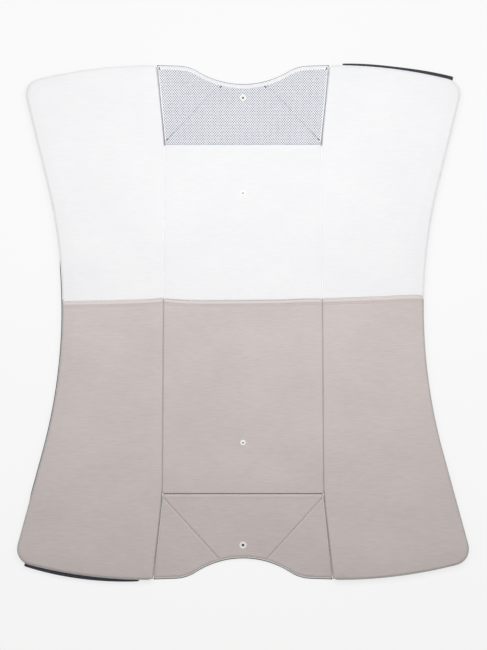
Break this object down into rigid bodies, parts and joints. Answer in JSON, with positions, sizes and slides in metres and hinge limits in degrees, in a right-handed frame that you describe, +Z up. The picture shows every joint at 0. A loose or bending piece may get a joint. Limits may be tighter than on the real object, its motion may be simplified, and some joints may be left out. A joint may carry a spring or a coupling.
{
  "type": "changing pad",
  "caption": "Fold-up padded changing pad: flared foam wings fold over a long centre, and thin end flaps fold in and snap shut.",
  "frame": {"origin": "middle of the underside, on the surface that the pad lies on", "axes": "+Y to the head end (the mesh flap), +X to the right of someone standing at the foot, +Z up through the pad"},
  "size_m": [0.6204, 0.7306, 0.0152],
  "materials": {
    "foam": "matt open-cell foam sheet",
    "white_plush": "soft knitted plush, matt white",
    "taupe_plush": "soft knitted plush, matt warm grey",
    "navy_cloth": "fine woven twill, matt dark navy",
    "grey_piping": "bias-cut woven piping, light grey",
    "white_mesh": "open spacer mesh, white over a blue-grey lining",
    "snap_ring": "glossy moulded white",
    "snap_back": "smooth dark moulded disc",
    "navy_thread": "twisted polyester thread",
    "zip_coil": "moulded nylon coil",
    "zip_metal": "semi-gloss dark enamel"
  },
  "bodies": {
    "centre": {"centre_foam": "foam", "centre_back": "navy_cloth", "centre_cover_white": "white_plush", "centre_cover_taupe": "taupe_plush", "head_stud": "snap_ring", "head_stud_disc": "snap_back", "foot_stud": "snap_ring", "foot_stud_disc": "snap_back", "right_fold_seam": "navy_cloth", "left_fold_seam": "navy_cloth", "head_fold_seam": "navy_cloth", "foot_fold_seam": "navy_cloth"},
    "right_wing": {"right_wing_foam": "foam", "right_wing_back": "navy_cloth", "right_wing_cover_white": "white_plush", "right_wing_cover_taupe": "taupe_plush", "right_wing_piping": "grey_piping", "right_wing_zip_cover": "navy_cloth", "right_wing_zip_tape_upper": "navy_cloth", "right_wing_zip_tape_lower": "navy_cloth", "right_wing_zip_coil": "zip_coil", "right_wing_zip_stops": "zip_coil"},
    "right_zip_slider": {"right_wing_zip_slider": "zip_metal"},
    "right_zip_puller": {"right_wing_zip_puller": "zip_metal"},
    "left_wing": {"left_wing_foam": "foam", "left_wing_back": "navy_cloth", "left_wing_cover_white": "white_plush", "left_wing_cover_taupe": "taupe_plush", "left_wing_piping": "grey_piping", "left_wing_zip_cover": "navy_cloth", "left_wing_zip_tape_upper": "navy_cloth", "left_wing_zip_tape_lower": "navy_cloth", "left_wing_zip_coil": "zip_coil", "left_wing_zip_stops": "zip_coil"},
    "left_zip_slider": {"left_wing_zip_slider": "zip_metal"},
    "left_zip_puller": {"left_wing_zip_puller": "zip_metal"},
    "head_flap": {"head_flap_mesh_middle": "white_mesh", "head_flap_mesh_left": "white_mesh", "head_flap_mesh_right": "white_mesh", "head_flap_back": "navy_cloth", "head_flap_binding": "white_mesh", "head_flap_socket": "snap_ring", "head_flap_socket_cap": "snap_back", "head_flap_bar_tacks": "navy_thread"},
    "foot_flap": {"foot_flap_panel_middle": "taupe_plush", "foot_flap_panel_left": "taupe_plush", "foot_flap_panel_right": "taupe_plush", "foot_flap_back": "navy_cloth", "foot_flap_binding": "grey_piping", "foot_flap_socket": "snap_ring", "foot_flap_socket_cap": "snap_back"}
  },
  "joints": [
    {"name": "left_wing_fold", "type": "hinge", "parent": "centre", "child": "left_wing", "pos_m": [-0.1115, 0, 0.01695], "axis": [0, 1, 0], "range_deg": [0, 180]},
    {"name": "right_wing_fold", "type": "hinge", "parent": "centre", "child": "right_wing", "pos_m": [0.1115, 0, 0.01695], "axis": [0, -1, 0], "range_deg": [0, 148]},
    {"name": "head_flap_fold", "type": "hinge", "parent": "centre", "child": "head_flap", "pos_m": [0, 0.2465, 0.0143], "axis": [1, 0, 0], "range_deg": [0, 185.2]},
    {"name": "foot_flap_fold", "type": "hinge", "parent": "centre", "child": "foot_flap", "pos_m": [0, -0.2465, 0.0143], "axis": [-1, 0, 0], "range_deg": [0, 185.2]},
    {"name": "right_zip_slide", "type": "hinge", "parent": "right_wing", "child": "right_zip_slider", "pos_m": [0.13047, -0.30314, 0.0046], "axis": [0, 0, 1], "range_deg": [0, 12.82]},
    {"name": "right_puller_swing", "type": "hinge", "parent": "right_zip_slider", "child": "right_zip_puller", "pos_m": [0.29605, 0.34543, 0.0046], "axis": [0, 0, -1], "range_deg": [0, 150]},
    {"name": "left_zip_slide", "type": "hinge", "parent": "left_wing", "child": "left_zip_slider", "pos_m": [-0.13047, 0.30314, 0.0046], "axis": [0, 0, 1], "range_deg": [0, 12.82]},
    {"name": "left_puller_swing", "type": "hinge", "parent": "left_zip_slider", "child": "left_zip_puller", "pos_m": [-0.29605, -0.34543, 0.0046], "axis": [0, 0, -1], "range_deg": [0, 150]}
  ]
}
